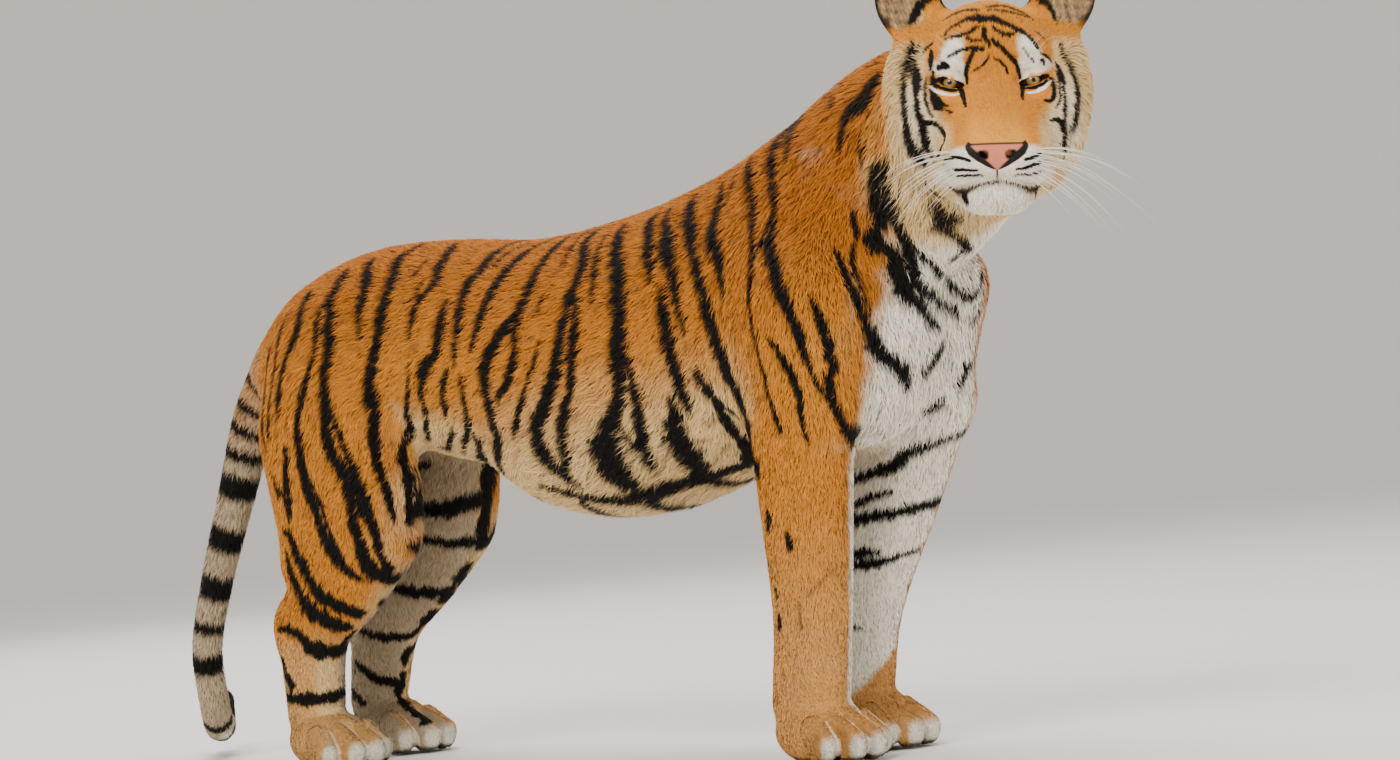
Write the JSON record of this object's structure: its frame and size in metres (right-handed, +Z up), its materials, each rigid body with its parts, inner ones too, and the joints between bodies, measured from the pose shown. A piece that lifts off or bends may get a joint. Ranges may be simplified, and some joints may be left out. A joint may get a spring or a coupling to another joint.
{
  "type": "bengal tiger figure",
  "caption": "Life-size standing bengal tiger with its head turned aside, mouth closed and tail hanging low.",
  "frame": {"origin": "bottom centre of the bounding box, at floor level between the paws", "axes": "+X forward along the body, +Y to the animal's left, +Z up"},
  "size_m": [2.2066, 0.4369, 1.105],
  "materials": {
    "coat": "short dense fur, orange with dark stripes, white below",
    "pale_coat": "short white fur",
    "nose_skin": "moist pebbled skin",
    "eyes": "wet and glossy"
  },
  "bodies": {
    "root": {"head": "coat", "lower_jaw": "pale_coat", "nose": "nose_skin", "eye_left": "eyes", "eye_right": "eyes", "ear_left": "coat", "ear_right": "coat", "neck": "coat", "chest": "coat", "barrel": "coat", "hindquarters": "coat", "tail_upper": "coat", "tail_middle": "coat", "tail_tip": "coat", "fore_left_shoulder": "coat", "fore_left_forearm": "coat", "fore_left_paw": "coat", "fore_right_shoulder": "coat", "fore_right_forearm": "coat", "fore_right_paw": "coat", "hind_left_thigh": "coat", "hind_left_shank": "coat", "hind_left_paw": "coat", "hind_right_thigh": "coat", "hind_right_shank": "coat", "hind_right_paw": "coat"}
  },
  "joints": []
}
